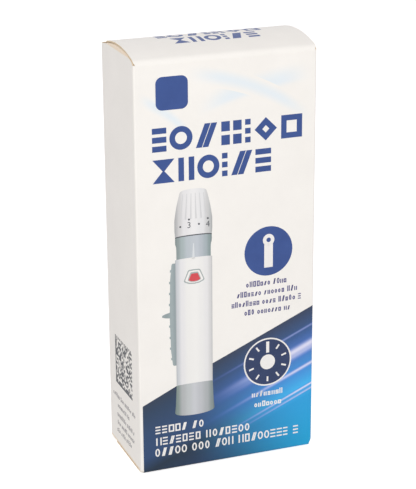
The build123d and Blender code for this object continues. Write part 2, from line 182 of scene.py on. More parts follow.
# The top lid's line: front bend, bow and tuck fold run into each other at these two slopes.
lid_half, lid_trim = 31.0, 0.55
tuck_fold, tuck_gap = 0.7, 0.25
lid_reach = depth - board - tuck_gap
rise, fall = np.radians(17), np.radians(18)
arch_radius = ((lid_reach - front_bend * (1 - np.sin(rise)) - tuck_fold * (1 - np.sin(fall)))
               / (np.sin(rise) + np.sin(fall)))
arch_depth = front_bend * (1 - np.sin(rise)) + arch_radius * np.sin(rise)
arch_z = front_top + (front_bend - arch_radius) * np.cos(rise)
# The dust flaps: how far they reach in, taper and round off, their gap under the lid, and by depth
# where they start and end on the side panels.
top_fold, bottom_fold = 1.6, 0.65
flap_reach, flap_taper, flap_corner, flap_gap = 25.0, 3.5, 4.0, 0.1
top_setback, bottom_lead, bottom_setback = 5.5, 2.0, 4.0
flap_front = arch_depth - np.sqrt((arch_radius - board) ** 2 - (height + flap_gap - arch_z) ** 2)
top_root = (flap_front, depth - top_setback)
bottom_root = (bottom_bend + bottom_lead, depth - bottom_setback)


def placed_material(name):
    """A material with only its Object coordinates: the material, its node tree and those coordinates."""
    made, tree = empty_material(name)
    return made, tree, add(tree, "ShaderNodeTexCoord").outputs["Object"]


def board_skin(tree, place, tone, cloud, roughness, bump):
    """The board's shader on its tree: that tone, a gloss uneven with the cloud by 0.05 either way, and a
    relief of fibres 0.35 mm wide and 0.02 mm high."""
    gloss = add(tree, "ShaderNodeMapRange", {
        "Value": cloud, "To Min": roughness - 0.05, "To Max": roughness + 0.05})
    fibre = add(tree, "ShaderNodeTexNoise", {"Vector": place, "Scale": 1 / (0.35 * MM), "Detail": 2})
    relief = add(tree, "ShaderNodeBump", {
        "Height": fibre.outputs["Fac"], "Strength": bump, "Distance": 0.02 * MM})
    skin = add(tree, "ShaderNodeBsdfPrincipled", {
        "Base Color": tone, "Roughness": gloss.outputs[0], "Normal": relief.outputs[0], "IOR": 1.42})
    add(tree, "ShaderNodeOutputMaterial", {"Surface": skin.outputs[0]})


def fibre_tone(tree, place, base, shade, patch):
    """Two tones mixed by a cloud of that size in millimetres: the tone and the cloud."""
    cloud = add(tree, "ShaderNodeTexNoise", {
        "Vector": place, "Scale": 1 / (patch * MM), "Detail": 4, "Roughness": 0.6})
    tone = add(tree, "ShaderNodeValToRGB", {"Fac": cloud.outputs["Fac"]},
               stops=[(0.3, linear(shade)), (0.7, linear(base))])
    return tone.outputs["Color"], cloud.outputs["Fac"]


def fibre_material(name, base, shade, patch, roughness, bump):
    """Board's or paper's surface: two tones in soft patches, an uneven gloss, and a fine relief."""
    made, tree, place = placed_material(name)
    tone, cloud = fibre_tone(tree, place, base, shade, patch)
    board_skin(tree, place, tone, cloud, roughness, bump)
    return made


# Clay-coated and varnished face: nearly white, satin, barely uneven.
face_tones, face_patch, face_roughness, face_relief = ("F7F5F1", "F3F1ED"), 14, 0.42, 0.25
coated_face = fibre_material("boxboard_coated_face", *face_tones, face_patch, face_roughness, face_relief)
# Uncoated back: warm grey fibre, matt.
fibre_back = fibre_material("boxboard_fibre_back", "DCCDB8", "CFBFA8", 1.6, 0.85, 0.9)
# Raw cut edge: tan fibre, as a die-cut edge shows it.
cut_edge = fibre_material("boxboard_cut_edge", "E8D7BC", "DAC6A8", 0.5, 0.9, 0.9)

# The same coated face on the carton's body, with tan painted along the dust flaps' folds from just behind the
# front:
# partly clay cracked through to the tan fibre, partly painted warm shade of the gap under the lid's edge and
# at the foot. Each pair says where the tan starts and where it is full.
wear_and_shade_across, wear_and_shade_top, wear_and_shade_foot, wear_and_shade_behind = (26.0, 29.0), (141.4, 141.8), (1.8, 1.2), (-15.5, -14.5)
wear_and_shade_face, tree, place = placed_material("boxboard_coated_face_folds_wear_and_painted_shade")
tone, cloud = fibre_tone(tree, place, *face_tones, face_patch)
parts = add(tree, "ShaderNodeSeparateXYZ", {"Vector": place})
outward = add(tree, "ShaderNodeMath", {0: parts.outputs["X"]}, operation="ABSOLUTE")
near_side, near_top, near_foot, behind = (
    add(tree, "ShaderNodeMapRange", {"Value": value, "From Min": start * MM, "From Max": full * MM},
        interpolation_type=blend)
    for value, (start, full), blend in ((outward.outputs[0], wear_and_shade_across, "SMOOTHSTEP"),
                                        (parts.outputs["Z"], wear_and_shade_top, "SMOOTHSTEP"),
                                        (parts.outputs["Z"], wear_and_shade_foot, "SMOOTHSTEP"),
                                        (parts.outputs["Y"], wear_and_shade_behind, "LINEAR")))
near_fold = add(tree, "ShaderNodeMath", {0: near_top.outputs[0], 1: near_foot.outputs[0]},
                operation="MAXIMUM")
cracks = add(tree, "ShaderNodeTexNoise", {"Vector": place, "Scale": 1 / (0.5 * MM), "Detail": 3})
cracked = add(tree, "ShaderNodeMapRange", {
    "Value": cracks.outputs["Fac"], "From Min": 0.3, "From Max": 0.6, "To Min": 0.55, "To Max": 1.0})
wear_and_shade = near_side.outputs[0]
for amount in (near_fold, behind, cracked):
    wear_and_shade = add(tree, "ShaderNodeMath", {0: wear_and_shade, 1: amount.outputs[0]}, operation="MULTIPLY").outputs[0]
# The fold tan F0DCC2 is partly cracked clay and partly painted warm shade under the lid's edge and at the
# foot.
wear_and_shade_tone = add(tree, "ShaderNodeMix", {"Factor": wear_and_shade, "A": tone, "B": linear("F0DCC2")}, data_type="RGBA")
board_skin(tree, place, wear_and_shade_tone.outputs[2], cloud, face_roughness, face_relief)


def crown(share_across, share_up, amount):
    """How far a panel stands out: a parabola across it times one up it, each 1 midway and 0 at its ends."""
    across, up = (4 * np.clip(share * (1 - share), 0, 1) for share in (share_across, share_up))
    return amount * across * up


def arc(centre, radius, start, end, steps):
    """Points and outward directions round a circle between two angles, as two arrays of pairs."""
    a = np.radians(np.linspace(start, end, steps))
    out = np.stack([np.cos(a), np.sin(a)], -1)
    return np.array(centre) + radius * out, out


def straight(start, end, out, shares):
    """Points at those shares of a straight, with one outward direction."""
    shares = np.asarray(shares)[:, None]
    points = np.array(start) + (np.array(end) - start) * shares
    return points, np.tile(np.array(out, float), (len(points), 1))


def joined(*runs):
    """Runs of a profile, one after the other."""
    return np.concatenate([r[0] for r in runs]), np.concatenate([r[1] for r in runs])


def strip(points, out, low, high, axis, shares):
    """Two grids: a profile carried along an axis from low to high at each point, with rows at those shares
    of the way, and its back one board thickness in."""
    low, high = np.asarray(low)[:, None, None], np.asarray(high)[:, None, None]
    face = points[:, None, :] + np.array(axis, float) * (low + (high - low) * shares[None, :, None])
    return face, face - board * out[:, None, :]


# The lower right front corner is pressed in, by that much: full and gone at these heights, gone and full at
# these places across, and full and gone at these depths behind the front.
pinch, pinch_up, pinch_across, pinch_behind = 0.6, (1.0, 2.6), (30.3, 31.1), (0.7, 3.0)


def pinched(points):
    """The same points with the pinch taken off across: its height's share squared times the two others."""
    x, y, z = np.moveaxis(points, -1, 0)
    press = (pinch * np.interp(z, pinch_up, (1, 0)) ** 2 * np.interp(x, pinch_across, (0, 1))
             * np.interp(y + half_depth, pinch_behind, (1, 0)))
    return points - press[..., None] * [1, 0, 0]


smooth_angle = np.radians(30)


def solid_object(name, slabs, finishes):
    """One closed mesh from pairs of grids, a face and its back, in millimetres: each pair is walled round its
    border, points that coincide become one, and walls that meet face to face at a seam or a pole go. The
    attribute share holds each point's share of its grid's two directions."""
    points, shares, quads, marks, start = [], [], [], [], 0
    for face, rear in slabs:
        normal = np.cross(face[1:, :-1] - face[:-1, :-1], face[:-1, 1:] - face[:-1, :-1])
        if (normal * (face - rear)[:-1, :-1]).sum() < 0:
            face, rear = face[::-1], rear[::-1]
        n, m = face.shape[:2]
        i = np.arange(n * m).reshape(n, m) + start
        j = i + n * m
        rim = np.concatenate([i[:-1, 0], i[-1, :-1], i[:0:-1, -1], i[0, :0:-1]])
        ahead = np.roll(rim, -1)
        for mark, made in enumerate((
                np.stack([i[:-1, :-1], i[1:, :-1], i[1:, 1:], i[:-1, 1:]], -1).reshape(-1, 4),
                np.stack([j[:-1, :-1], j[:-1, 1:], j[1:, 1:], j[1:, :-1]], -1).reshape(-1, 4),
                np.stack([ahead, rim, rim + n * m, ahead + n * m], -1))):
            quads.append(made)
            marks.append(np.full(len(made), min(mark, len(finishes) - 1)))
        points += [face.reshape(-1, 3), rear.reshape(-1, 3)]
        grid = np.stack(np.meshgrid(np.linspace(0, 1, n), np.linspace(0, 1, m), indexing="ij"), -1)
        shares += [grid.reshape(-1, 2)] * 2
        start += 2 * n * m
    points, shares, quads, marks = (np.concatenate(part) for part in (points, shares, quads, marks))
    _, first, same = np.unique(np.round(points, 4), axis=0, return_index=True, return_inverse=True)
    quads = same.reshape(-1)[quads]
    ordered = np.sort(quads, 1)
    _, group, count = np.unique(ordered, axis=0, return_inverse=True, return_counts=True)
    keep = (count[group.reshape(-1)] == 1) & ((np.diff(ordered, axis=1) > 0).sum(1) >= 2)
    faces = [list(dict.fromkeys(q)) for q in quads[keep].tolist()]
    mesh = bpy.data.meshes.new(name)
    mesh.from_pydata((points[first] * MM).tolist(), [], faces)
    mesh.polygons.foreach_set("material_index", marks[keep].astype(np.int32))
    stored = mesh.attributes.new("share", "FLOAT2", "POINT")
    stored.data.foreach_set("vector", shares[first].ravel().astype(np.float32))
    mesh.shade_smooth()
    mesh.set_sharp_from_angle(angle=smooth_angle)
    for finish in finishes:
        mesh.materials.append(finish)
    made = bpy.data.objects.new(name, mesh)
    bpy.context.scene.collection.objects.link(made)
    return made


# The side panels' edges: least height of the front corner, drops and slope behind the dust flaps.
corner_stand, top_step, top_slope, slope_length, foot_step = 0.6, 0.3, 0.8, 4.0, 0.4


def side_top(d):
    """Top edge of a side panel by depth: under the front bend, up the bowed lid's line, at its fold, then
    sloping down to the rear."""
    inner = front_bend - lid_trim
    round_bend = np.sqrt(np.clip(inner ** 2 - (front_bend - d) ** 2, corner_stand ** 2, None))
    arch = np.minimum(arch_z + np.sqrt((arch_radius - lid_trim) ** 2 - (d - arch_depth) ** 2), height)
    shoulder = height - top_step - top_slope * np.clip((d - top_root[1]) / slope_length, 0, 1)
    return np.select([d < front_bend - inner * np.sin(rise), d <= top_root[0], d <= top_root[1]],
                     [front_top + np.where(d > 0, round_bend, 0), arch, height - top_fold], shoulder)


def side_low(d):
    """Bottom edge of a side panel by depth: round inside the bottom bend, level, at its fold, then higher."""
    bend = bottom_bend - np.sqrt(np.clip((bottom_bend - lid_trim) ** 2 - (bottom_bend - d) ** 2, 0, None))
    return np.select([d < bottom_bend, d <= bottom_root[0], d <= bottom_root[1]],
                     [bend, foot, foot + bottom_fold], foot + foot_step)


# Points on the side panels: close together over the front, and in pairs where an edge steps.
close_depth, pair_gap = 7.0, 0.002
stops = np.array([*top_root, *bottom_root])
side_depths = np.unique(np.concatenate([
    np.linspace(crease, close_depth, 36), np.linspace(close_depth, depth - crease, 12),
    stops, stops + pair_gap]))
# The right panel ends in a raw edge, and the seam flap from the back panel is glued on inside it: its gap
# to the panel, its reach, and how its two ends are cut back and taper.
edge_setback = 0.5
seam_gap, seam_reach, seam_end, seam_taper, taper_length = 0.01, 11.0, 1.6, 5.0, 10.2
right_depths = np.append(side_depths[side_depths < depth - crease], depth - edge_setback)[::-1]
right_side = straight((half_width, -half_depth), (half_width, half_depth), (1, 0), right_depths / depth)
left_side = straight((-half_width, -half_depth), (-half_width, half_depth), (-1, 0), side_depths / depth)
seam_x = half_width - board - seam_gap
seam_run = joined(
    arc((flat_half - board, flat_depth), crease, 29.9, 0, 4),
    straight((seam_x, flat_depth), (seam_x, half_depth - seam_reach), (1, 0), np.linspace(0, 1, 6)[1:]))
wall_points, wall_out = joined(
    right_side,
    arc((flat_half, -flat_depth), crease, 0, -90, 15),
    straight((flat_half, -half_depth), (-flat_half, -half_depth), (0, -1), np.linspace(0, 1, 21)[1:-1]),
    arc((-flat_half, -flat_depth), crease, -90, -180, 15),
    (left_side[0][1:-1], left_side[1][1:-1]),
    arc((-flat_half, flat_depth), crease, 180, 90, 9),
    straight((-flat_half, half_depth), (flat_half - board, half_depth), (0, 1), np.linspace(0, 1, 21)[1:-1]),
    arc((flat_half - board, flat_depth), crease, 90, 30, 7),
    seam_run)
x, y = wall_points.T
wall_low, wall_high = side_low(y + half_depth), side_top(np.round(y + half_depth, 6))
seam = np.arange(len(x)) >= len(x) - len(seam_run[0])
seam_cut = seam_end + seam_taper * np.clip((flat_depth - y[seam]) / taper_length, 0, 1)
wall_low[seam], wall_high[seam] = foot + seam_cut, height - seam_cut
foot_rows = np.arange(6) * 0.003
face, rear = strip(np.column_stack([x, y, 0 * x]), np.column_stack([wall_out, 0 * x]), wall_low, wall_high,
                   (0, 0, 1), np.append(foot_rows, np.linspace(0, 1, 25)[1:]))
share_up = np.clip((face[..., 2] - foot) / (height - foot), 0, 1)
share_x = np.clip((face[..., 0] + flat_half) / (2 * flat_half), 0, 1)
share_y = np.clip((face[..., 1] + flat_depth) / (2 * flat_depth), 0, 1)
stand = np.zeros(face.shape)
faces_y = np.isclose(np.abs(y), half_depth)
faces_x = np.isclose(np.abs(x), half_width)
stand[faces_y, :, 1] = np.sign(y[faces_y])[:, None] * crown(share_x, share_up, front_crown)[faces_y]
stand[faces_x, :, 0] = np.sign(x[faces_x])[:, None] * crown(share_y, share_up, side_crown)[faces_x]
carton_slabs = [(pinched(face + stand), pinched(rear + stand))]

# A sprung fold gets squarer by up to that much more power, as the lid's underside rises over that height.
squareness, square_range = 2.0, 0.4


def dust_flap(side, root, level, way, fold):
    """A dust flap: its fold and blade in the plane across the carton, carried from front to rear, tapered
    and rounded. A top one springs up against the lid: it follows the underside of the lid's arc, more so
    the nearer to the blade, and its fold gets squarer there, by a power of how far in it lies."""
    points, out = joined(arc((half_width - fold, -fold), fold, 0, 90, 12),
                         straight((half_width - fold, 0), (half_width - flap_reach, 0), (0, 1),
                                  np.linspace(0, 1, 25)[1:] ** 0.6))
    reach = np.clip((half_width - fold - points[:, 0]) / (flap_reach - fold), 0, 1)
    left = np.clip(flap_corner - (1 - reach) * (flap_reach - fold), 0, flap_corner)
    cut = flap_taper * reach + flap_corner - np.sqrt(flap_corner ** 2 - left ** 2)
    points3 = np.column_stack([side * points[:, 0], 0 * reach, level + way * points[:, 1]])
    out3 = np.column_stack([side * out[:, 0], 0 * reach, way * out[:, 1]])
    face, rear = strip(points3, out3, root[0] - half_depth + cut, root[1] - half_depth - cut, (0, 1, 0),
                       np.linspace(0, 1, 13))
    d = face[..., 1] + half_depth
    underside = arch_z + np.sqrt((arch_radius - board) ** 2 - (d - arch_depth) ** 2) - flap_gap - height
    sprung = float(way > 0)
    lift = sprung * np.clip(underside, 0, None) * np.clip(1 + points[:, 1] / fold, 0, 1)[:, None] ** 2
    in_share = np.clip((half_width - points[:, 0]) / fold, 0, 1)[:, None]
    power = 1 + sprung * squareness * np.clip(underside / square_range + 1, 0, 1)
    move = np.stack([side * fold * (in_share - in_share ** power), 0 * lift, lift], -1)
    return face + move, rear + move


for side in (-1, 1):
    carton_slabs.append(dust_flap(side, top_root, height, 1, top_fold))
    carton_slabs.append(dust_flap(side, bottom_root, foot, -1, bottom_fold))
carton_board = solid_object("carton_board", carton_slabs, (wear_and_shade_face, fibre_back, cut_edge))
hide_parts("carton")
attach(carton_board, "carton")

# Lids: top and bottom close the carton, each with a tuck flap that goes in behind the back panel.
# They are the same sheet as the front panel, bent at a crease, so each mesh starts where that panel ends.
# The top one stands bowed, the bottom one carries the carton.
relief, relief_length, tuck_length, tuck_corner = 1.3, 5.0, 13.5, 7.0
# The top lid's front corners are trimmed over those depths, and the bottom lid's sides are hollowed at its
# bend, by that much from a lead before it to a tail behind it.
corner_trim, trim_depths = 0.5, (0.08, 0.48)
scallop, scallop_lead, scallop_tail = 1.4, 1.3, 2.0


def top_front_half(d):
    """Half width of the top lid by depth, at its front: from inside the creases out to their faces."""
    return lid_half - np.interp(d, trim_depths, (corner_trim, 0))


def bottom_front_half(d):
    """Half width of the bottom lid by depth, at its front: rounded in where it bends, square out behind."""
    hollow = np.interp(d, np.array([-scallop_lead, 0, scallop_tail]) + bottom_bend, (0, scallop, 0))
    return np.minimum(top_front_half(d), lid_half - hollow)


def lid_strip(bend_and_panel, front_half, tuck_out, tuck_heading):
    """A lid's profile in depth and height, carried across to the half width that its front gives, which
    narrows at the rear fold and rounds off at the tuck flap's tip."""
    points, out = bend_and_panel
    tip = points[-1] + np.array(tuck_heading) * tuck_length
    tuck = straight(points[-1], tip, tuck_out, np.linspace(0, 1, 22)[1:] ** 0.7)
    lid_points, lid_out = joined((points, out), tuck)
    d = lid_points[:, 0] + half_depth
    in_tuck = np.arange(len(d)) >= len(points)
    narrow = np.clip((d - (lid_reach - relief_length)) / (relief_length - tuck_fold), 0, 1)
    narrow = np.where(in_tuck, 1, narrow)
    left = np.where(in_tuck, np.linalg.norm(lid_points - tip, axis=1), np.inf)
    corner = np.clip(tuck_corner - left, 0, tuck_corner)
    half = (front_half(d) - relief * narrow * narrow * (3 - 2 * narrow)
            - (tuck_corner - np.sqrt(tuck_corner ** 2 - corner ** 2)))
    points3 = np.column_stack([0 * d, lid_points])
    out3 = np.column_stack([0 * d, lid_out])
    face, rear = strip(points3, out3, -half, half, (1, 0, 0), np.append(np.linspace(0, 0.98, 21), [0.99, 1]))
    return pinched(face), pinched(rear)


lid_finishes = (coated_face, fibre_back, cut_edge)
arch_centre = np.array([arch_depth - half_depth, arch_z])
top_profile = joined(
    arc((front_bend - half_depth, front_top), front_bend, 180, 90 + np.degrees(rise), 20),
    arc(arch_centre, arch_radius, 90 + np.degrees(rise), 90 - np.degrees(fall), 36),
    arc(arch_centre + (arch_radius - tuck_fold) * np.array([np.sin(fall), np.cos(fall)]),
        tuck_fold, 90 - np.degrees(fall), -np.degrees(fall), 10))
top_lid_board = solid_object(
    "top_lid_board", [lid_strip(top_profile, top_front_half, (np.cos(fall), -np.sin(fall)),
                                (-np.sin(fall), -np.cos(fall)))], lid_finishes)
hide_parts("top_lid")
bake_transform(top_lid_board)

tuck_lean = 14
lean = np.radians(tuck_lean)
bottom_profile = joined(
    arc((bottom_bend - half_depth, bottom_bend), bottom_bend, 180, 270, 20),
    straight((bottom_bend - half_depth, 0), (lid_reach - tuck_fold - half_depth, 0), (0, -1),
             np.linspace(0, 1, 22)[1:-1] ** 1.6),
    arc((lid_reach - tuck_fold - half_depth, tuck_fold), tuck_fold, 270, 360 + tuck_lean, 10))
bottom_lid_board = solid_object(
    "bottom_lid_board", [lid_strip(bottom_profile, bottom_front_half, (np.cos(lean), np.sin(lean)),
                                   (-np.sin(lean), np.cos(lean)))], lid_finishes)
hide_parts("bottom_lid")
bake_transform(bottom_lid_board)

# Front print: offset inks under the varnish, on the front panel and round its creases, in plain shapes.
# Each ink is a film on the board, worked out in panel places: u from the panel's left edge, z the height.
# A film is 0.015 mm for each layer, more than real ink, so that one film clearly covers another.
film, sunk = 0.015, 0.01
print_middle = 31.0


def on_front(places, lift):
    """Panel places to points: the flat panel with its crown, and past its side creases and its foot bend an
    arc, by the angle whose length is what the place lies past them."""
    u, z = places[..., 0] - print_middle, places[..., 1]
    over = np.clip(np.abs(u) - flat_half, 0, None) / crease
    under = np.clip(front_low - z, 0, None) / bottom_bend
    stand = crown((np.clip(u, -flat_half, flat_half) + flat_half) / (2 * flat_half),
                  (np.maximum(z, front_low) - foot) / (height - foot), front_crown) * (over == 0)
    x = np.sign(u) * (np.minimum(np.abs(u), flat_half) + (crease + lift) * np.sin(over))
    y = -half_depth + crease * (1 - np.cos(over)) - lift * np.cos(over) - stand
    bent_y = (bottom_bend - half_depth - (bottom_bend + lift) * np.cos(under)
              - stand * np.clip(1 - under, 0, 1))
    bent_z = front_low - (bottom_bend + lift) * np.sin(under)
    return pinched(np.stack([x, np.where(under > 0, bent_y, y), np.where(under > 0, bent_z, z)], -1))


def fine(places, cell):
    """The same places with more on the lines between, so that none lie further apart than the cell."""
    for axis in (0, 1):
        places = np.swapaxes(places, 0, axis)
        longest = np.linalg.norm(np.diff(places, axis=0), axis=2).max(1)
        stations = [np.linspace(i, i + 1, max(int(np.ceil(gap / cell)), 1), endpoint=False)
                    for i, gap in enumerate(longest)]
        at = np.append(np.concatenate(stations), len(places) - 1)
        low = np.minimum(at.astype(int), len(places) - 2)
        share = (at - low)[:, None, None]
        places = np.swapaxes(places[low] * (1 - share) + places[low + 1] * share, 0, axis)
    return places


def patch(u0, u1, z0, z1, lean=0.0):
    """A rectangle of places; lean slides its top edge along."""
    grid = np.stack(np.meshgrid([u0, u1], [z0, z1], indexing="ij"), -1).astype(float)
    grid[:, 1, 0] += lean
    return grid


def circle(steps):
    """Unit directions round a circle."""
    a = np.linspace(0, 2 * np.pi, steps, endpoint=False)
    return np.stack([np.cos(a), np.sin(a)], -1)


square_ways = np.array([[1, 1], [-1, 1], [-1, -1], [1, -1]])
diamond_ways = np.array([[1, 0], [0, 1], [-1, 0], [0, -1]])


def hoop(centre, half, line, ways):
    """A closed band round a centre: unit ways times two half sizes, and the same one line width in."""
    ways = np.vstack([ways, ways[:1]])
    half = np.array(half, float)
    return np.array(centre) + np.stack([ways * half, ways * np.maximum(half - line, 0)], 1)


def disc(centre, radius, line=None):
    """A disc, or a ring of that line width."""
    return hoop(centre, (radius, radius), line or radius, circle(48))


def rounded(centre, size, corner):
    """A rounded rectangle, as rings about its centre: four quarter circles at its corners."""
    a = np.radians(np.arange(4)[:, None] * 90 + np.linspace(0, 90, 8)[None, :])
    corners = square_ways[:, None, :] * (np.array(size) / 2 - corner)
    edge = (corners + corner * np.stack([np.cos(a), np.sin(a)], -1)).reshape(-1, 2)
    edge = np.vstack([edge, edge[:1]])
    return np.array(centre) + np.stack([edge, edge * 0], 1)


def between(u, low, high, rows=6):
    """Places between two lines given at the same u."""
    share = np.linspace(0, 1, rows)[None, :]
    z = np.asarray(low)[:, None] * (1 - share) + np.asarray(high)[:, None] * share
    return np.stack([np.broadcast_to(np.asarray(u)[:, None], z.shape), z], -1)


def wedge(low, high):
    """A stroke that tapers from one level span to another, each given by its left, right and height."""
    return np.array([[[low[0], low[2]], [high[0], high[2]]], [[low[1], low[2]], [high[1], high[2]]]])


slant_share, square_share, stack_gap, waist = 0.42, 0.42, 0.14, 0.3


def sign_shape(kind, u0, u1, z0, z1, line):
    """One plain shape that fills a box of places, with strokes of that width."""
    wide, tall = u1 - u0, z1 - z0
    middle, half = ((u0 + u1) / 2, (z0 + z1) / 2), (wide / 2, tall / 2)
    if kind == "ring":
        return [hoop(middle, half, line, circle(32 if tall > 4 else 10))]
    if kind == "diamond":
        return [hoop(middle, half, 1.4 * line, diamond_ways)]
    if kind == "frame":
        return [hoop(middle, half, line, square_ways)]
    if kind == "bars":
        return [patch(u0, u1, z, z + line) for z in (z0, middle[1] - line / 2, z1 - line)]
    if kind == "posts":
        return [patch(u, u + line, z0, z1) for u in (u0, u1 - line)]
    if kind == "slants":
        lean, stroke = slant_share * wide, 1.05 * line
        return [patch(u, u + stroke, z0, z1, lean) for u in (u0, u1 - lean - stroke)]
    if kind == "squares":
        side_u, side_z = square_share * wide, square_share * tall
        return [patch(u, u + side_u, z, z + side_z) for u in (u0, u1 - side_u) for z in (z0, z1 - side_z)]
    if kind == "glass":
        return [np.array([[[u0, z0], [middle[0] - waist, middle[1]], [u0, z1]],
                          [[u1, z0], [middle[0] + waist, middle[1]], [u1, z1]]])]
    gap = stack_gap * tall
    third = (tall - 2 * gap) / 3
    return [patch(u0, u1, z, z + third) for z in (z0 + i * (third + gap) for i in range(3))]


def shape_row(kinds, spans, low, high, line):
    """A row of shapes, one for each span."""
    return [grid for kind, (a, b) in zip(kinds, spans) for grid in sign_shape(kind, a, b, low, high, line)]


small_kinds = ("ring", "posts", "frame", "bars", "slants", "ring")
tall_chance, low_share, run_gap = 0.35, 0.72, 0.6


def small_row(u0, u1, low, high, seed, pitch, line, capitals=False):
    """Small print: shapes at an even pitch in runs of three to eight, every third or so a tall one."""
    rng = np.random.default_rng(seed)
    made, u, run = [], u0, rng.integers(3, 9)
    while u < u1 - 0.7 * pitch:
        wide = pitch * rng.uniform(0.7, 0.84)
        tall = 1.0 if capitals or rng.random() < tall_chance else low_share
        kind = small_kinds[rng.integers(6)]
        made += sign_shape(kind, u, min(u + wide, u1), low, low + (high - low) * tall, line)
        u += pitch
        run -= 1
        if run == 0:
            u += run_gap * pitch
            run = rng.integers(3, 9)
    return made


def small_rows(rows, *style):
    """Rows of small print in one style, each given by its left, right, low and high edge and a seed."""
    return [grid for row in rows for grid in small_row(*row, *style)]


# Offset ink fills the board's fibres a little, so its relief is weaker than the bare face's.
ink_patch, ink_relief = 6, 0.2


def ink_material(name, colour, deeper):
    """Varnished offset ink: one colour, a little deeper in soft patches where the board took more of it."""
    made, tree, place = placed_material(name)
    tone, cloud = fibre_tone(tree, place, colour, deeper, ink_patch)
    board_skin(tree, place, tone, cloud, face_roughness, ink_relief)
    return made


navy_ink = ink_material("offset_ink_navy", "3A5595", "344E8C")
deep_ink = ink_material("offset_ink_deep_navy", "2F3F66", "2B3A60")
violet_ink = ink_material("offset_ink_violet_grey", "5F5E8E", "575686")
white_ink = ink_material("unprinted_white", "F4F2F0", "EFEDEB")
grey_ink = ink_material("offset_ink_grey", "85838A", "7D7B82")
dark_ink = ink_material("offset_ink_dark_grey", "565A60", "50545A")


def films(places, surface, lift, cell):
    """Slabs of ink from places on a surface: each stands that much proud of it and is sunk a little in."""
    return [(surface(p, lift), surface(p, -sunk)) for p in (fine(q, cell) for q in places)]


def printed(name, places, finish, body="carton", surface=on_front, layer=1, cell=2.0):
    """One printed piece from its places on a surface, as films of that many layers."""
    made = solid_object(name, films(places, surface, film * layer, cell), (finish,))
    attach(made, body)
    return made


headline_kinds = (("bars", "ring", "slants", "squares", "stack", "diamond", "frame"),
                  ("glass", "posts", "ring", "stack", "slants", "bars"))
headline_spans = (
    ((5.6, 10.4), (11.4, 19.2), (20.3, 27.6), (29.0, 36.0), (37.2, 39.1), (40.5, 48.3), (49.8, 57.2)),
    ((5.6, 13.0), (14.3, 19.7), (20.7, 28.3), (29.2, 31.1), (32.4, 39.7), (40.8, 46.3)))
headline = (shape_row(headline_kinds[0], headline_spans[0], 111.5, 119.3, 1.9)
            + shape_row(headline_kinds[1], headline_spans[1], 101.1, 108.9, 1.9))
printed("print_headline", headline + [rounded((12.4, 130.3), (10.8, 10.8), 2.2)], navy_ink, layer=2)
printed("print_icon_disc", [disc((45.6, 73.5), 8.6)], navy_ink)
printed("print_icon_lancet", [
    disc((45.6, 77.4), 2.05, 1.25), patch(44.05, 47.15, 67.8, 76.1)], white_ink, layer=2)
printed("print_small_text", small_rows([
    (37.6, 53, 61.6, 63.6, 3), (34.3, 56.5, 58.3, 60.3, 5), (32.4, 58.1, 55.0, 57.0, 7),
    (37, 54.4, 51.7, 53.7, 11)], 1.28, 0.38), violet_ink)


# Pale tint arcs over the bare top of the panel, bands of three large circles in a weak offset blue.
# It fades into the board at each band's sides and ends, by ramps along the band and across it.
arc_fades = {"X": ((0, 0.0), (0.3, 1.0), (0.7, 1.0), (1, 0.0)), "Y": ((0, 0.0), (0.5, 0.8), (1, 0.0))}


def grey_stops(stops):
    """A ramp's stops with their strengths as greys."""
    return [(position, (strength, strength, strength, 1)) for position, strength in stops]


def long_arc(centre, radius, line, u0, u1):
    """A band of a large circle between two places: at each u the centre's height plus the root of the
    radius squared less the distance along squared, half the line either way."""
    u = np.linspace(u0, u1, 40)
    root = np.sqrt(radius ** 2 - (u - centre[0]) ** 2)
    return between(u, centre[1] + root - line / 2, centre[1] + root + line / 2, 7)


pale_ink, tree, place = placed_material("offset_ink_pale_blue")
tone, cloud = fibre_tone(tree, place, *face_tones, face_patch)
share = add(tree, "ShaderNodeAttribute", attribute_name="share").outputs["Vector"]
parts = add(tree, "ShaderNodeSeparateXYZ", {"Vector": share})
along, across = (
    add(tree, "ShaderNodeValToRGB", {"Fac": parts.outputs[axis]}, stops=grey_stops(fades))
    for axis, fades in arc_fades.items())
along.color_ramp.interpolation = across.color_ramp.interpolation = "EASE"
tint = add(tree, "ShaderNodeMath", {0: along.outputs["Color"], 1: across.outputs["Color"]},
           operation="MULTIPLY")
tinted = add(tree, "ShaderNodeMix", {"Factor": tint.outputs[0], "A": tone, "B": linear("E3EEF6")},
             data_type="RGBA")
board_skin(tree, place, tinted.outputs[2], cloud, face_roughness, face_relief)
printed("print_pale_arcs", [long_arc((10, 58), 78, 7, 16, 61)], pale_ink, cell=1.5)
printed("print_pale_arcs_over", [long_arc((66, 12), 121, 9, 20, 61.2), long_arc((-20, 84), 50, 6, 0.8, 20)],
        pale_ink, layer=0.6, cell=1.5)

# Blue field: process blues flood the lower front, dark at the upper left and cyan at the lower right.
# Plain soft bands of light run up it at the slant of its upper edge. It goes round the right crease and
# under the foot, where the bottom lid carries it.
field_slant, field_high, field_deep = np.radians(23.1), 35.5, -12.2
wash_span, light_span = (-12, 34), (-6, 36)
dark_stops = ((0, "313D50"), (0.1, "2D4360"), (0.24, "304A70"), (0.4, "2E4A74"), (0.5, "223448"),
              (0.65, "283F60"), (1, "233C4E"))
bright_stops = ((0, "36425C"), (0.1, "36527E"), (0.2, "3F69A8"), (0.32, "4684CC"), (0.42, "3F96DE"),
                (0.52, "40B4F2"), (0.62, "28A2E0"), (1, "10A6D8"))
glow_stops = ((0, "3F62D2"), (0.5, "A9B8F2"), (1, "F3F0FF"))
band_strengths = ((0, 0.0), (0.11, 0.0), (0.125, 0.5), (0.14, 0.0), (0.2, 0.1), (0.25, 0.9), (0.28, 0.7),
                  (0.33, 0.0), (0.37, 0.0), (0.395, 0.85), (0.42, 0.1), (0.53, 0.0), (0.545, 0.95),
                  (0.56, 0.1), (0.58, 0.75), (0.59, 0.0), (1, 0.0))


def hex_stops(stops):
    """A ramp's stops with their hex colours made linear."""
    return [(position, linear(colour)) for position, colour in stops]


